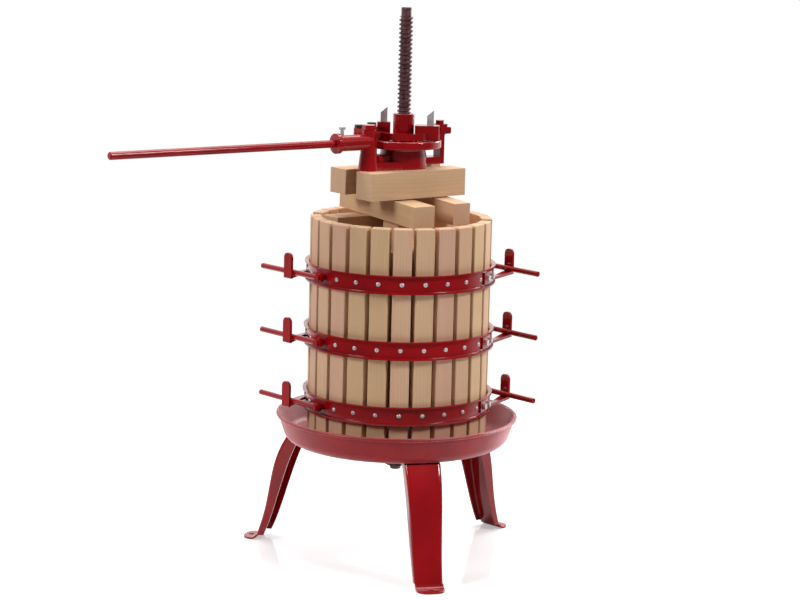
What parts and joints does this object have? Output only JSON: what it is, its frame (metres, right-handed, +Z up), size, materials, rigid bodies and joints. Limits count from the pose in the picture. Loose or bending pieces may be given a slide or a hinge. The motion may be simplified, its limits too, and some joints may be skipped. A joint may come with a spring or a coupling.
{
  "type": "grape press",
  "caption": "Basket press with a slatted wooden cage in a round basin on three legs, a fixed screw and a ratchet head turned by a side lever over stacked wooden blocks.",
  "frame": {"origin": "on the screw's axis at floor level, at the centre of the circle of the three foot holes", "axes": "+Z up along the screw, -Y towards the front leg's side as pictured, +X to the right"},
  "size_m": [0.6726, 0.5893, 0.906],
  "materials": {
    "red_enamel": "gloss red enamel",
    "dark_steel": "oiled dark steel",
    "zinc_steel": "zinc plated",
    "black_steel": "blackened",
    "beech": "planed beech, unvarnished"
  },
  "bodies": {
    "base": {"basin": "red_enamel", "spout": "red_enamel", "under_plate": "red_enamel", "centre_hub": "red_enamel", "screw": "dark_steel", "bottom_nut": "dark_steel", "leg_bolts": "zinc_steel", "leg_front": "red_enamel", "leg_right": "red_enamel", "leg_left": "red_enamel"},
    "basket": {"slats_front": "beech", "slats_rear": "beech", "hoop_screws_front": "zinc_steel", "hoop_screws_rear": "zinc_steel", "hook_bolts": "black_steel", "rod_pins": "red_enamel", "hoop_top_front": "red_enamel", "hoop_top_rear": "red_enamel", "hoop_middle_front": "red_enamel", "hoop_middle_rear": "red_enamel", "hoop_bottom_front": "red_enamel", "hoop_bottom_rear": "red_enamel", "hook_top_right": "red_enamel", "hook_top_left": "red_enamel", "hook_middle_right": "red_enamel", "hook_middle_left": "red_enamel", "hook_bottom_right": "red_enamel", "hook_bottom_left": "red_enamel"},
    "head": {"foot": "red_enamel", "keeper_tongue": "red_enamel", "keeper_bolt": "black_steel", "pivot_pin": "black_steel", "block_top_front": "beech", "block_top_rear": "beech", "block_cross_left": "beech", "block_cross_right": "beech", "block_bottom_front": "beech", "block_bottom_rear": "beech", "board_left": "beech", "board_right": "beech"},
    "nut": {"ratchet_nut": "red_enamel"},
    "lever": {"handle_socket": "red_enamel", "link_pins": "black_steel"},
    "bar": {"handle_bar": "red_enamel"},
    "set_screw": {"set_screw": "zinc_steel"},
    "front_arm": {"front_arm": "red_enamel"},
    "rear_arm": {"rear_arm": "red_enamel"},
    "front_pawl": {"front_pawl": "zinc_steel"},
    "rear_pawl": {"rear_pawl": "zinc_steel"},
    "rod_top_right": {"rod_top_right": "red_enamel"},
    "rod_top_left": {"rod_top_left": "red_enamel"},
    "rod_middle_right": {"rod_middle_right": "red_enamel"},
    "rod_middle_left": {"rod_middle_left": "red_enamel"},
    "rod_bottom_right": {"rod_bottom_right": "red_enamel"},
    "rod_bottom_left": {"rod_bottom_left": "red_enamel"}
  },
  "joints": [
    {"name": "head_travel", "type": "slide", "parent": "base", "child": "head", "axis": [0, 0, 1], "range_m": [-0.04, 0.15]},
    {"name": "nut_turn", "type": "hinge", "parent": "head", "child": "nut", "pos_m": [0, 0, 0.686], "axis": [0, 0, 1], "range_deg": [-2057.14, 7714.29]},
    {"name": "handle_swing", "type": "hinge", "parent": "head", "child": "lever", "pos_m": [-0.05539, -0.05349, 0.676], "axis": [0, 0, 1], "range_deg": [-17, 17]},
    {"name": "front_arm_turn", "type": "hinge", "parent": "lever", "child": "front_arm", "pos_m": [-0.0717, -0.034, 0.699], "axis": [0, 0, 1], "range_deg": [-22, 22]},
    {"name": "rear_arm_turn", "type": "hinge", "parent": "lever", "child": "rear_arm", "pos_m": [-0.052, 0.008, 0.699], "axis": [0, 0, 1], "range_deg": [-44, 44]},
    {"name": "front_pawl_lift", "type": "slide", "parent": "front_arm", "child": "front_pawl", "axis": [0, 0, 1], "range_m": [0, 0.015]},
    {"name": "rear_pawl_lift", "type": "slide", "parent": "rear_arm", "child": "rear_pawl", "axis": [0, 0, 1], "range_m": [0, 0.015]},
    {"name": "bar_slide", "type": "slide", "parent": "lever", "child": "bar", "axis": [-0.8121, -0.5835, 0], "range_m": [0, 0.04]},
    {"name": "set_screw_turn", "type": "hinge", "parent": "lever", "child": "set_screw", "pos_m": [-0.09762, -0.08383, 0.716], "axis": [0, 0, 1], "range_deg": [0, 360]},
    {"name": "basket_lift", "type": "slide", "parent": "base", "child": "basket", "axis": [0, 0, 1], "range_m": [0, 0.04]},
    {"name": "rod_top_right_swing", "type": "hinge", "parent": "basket", "child": "rod_top_right", "pos_m": [0.12849, 0.09931, 0.476], "axis": [-0.7431, -0.6691, 0], "range_deg": [0, 80]},
    {"name": "rod_top_left_swing", "type": "hinge", "parent": "basket", "child": "rod_top_left", "pos_m": [-0.12849, -0.09931, 0.476], "axis": [0.7431, 0.6691, 0], "range_deg": [0, 80]},
    {"name": "rod_middle_right_swing", "type": "hinge", "parent": "basket", "child": "rod_middle_right", "pos_m": [0.12849, 0.09931, 0.3695], "axis": [-0.7431, -0.6691, 0], "range_deg": [0, 36]},
    {"name": "rod_middle_left_swing", "type": "hinge", "parent": "basket", "child": "rod_middle_left", "pos_m": [-0.12849, -0.09931, 0.3695], "axis": [0.7431, 0.6691, 0], "range_deg": [0, 36]},
    {"name": "rod_bottom_right_swing", "type": "hinge", "parent": "basket", "child": "rod_bottom_right", "pos_m": [0.12849, 0.09931, 0.263], "axis": [-0.7431, -0.6691, 0], "range_deg": [0, 36]},
    {"name": "rod_bottom_left_swing", "type": "hinge", "parent": "basket", "child": "rod_bottom_left", "pos_m": [-0.12849, -0.09931, 0.263], "axis": [0.7431, 0.6691, 0], "range_deg": [0, 36]}
  ],
  "couplings": [
    {"joint": "head_travel", "follows": "nut_turn", "m_per_rad": 0.0011141},
    {"joint": "front_arm_turn", "follows": "handle_swing", "ratio": -1.273},
    {"joint": "rear_arm_turn", "follows": "handle_swing", "ratio": -2.567}
  ]
}
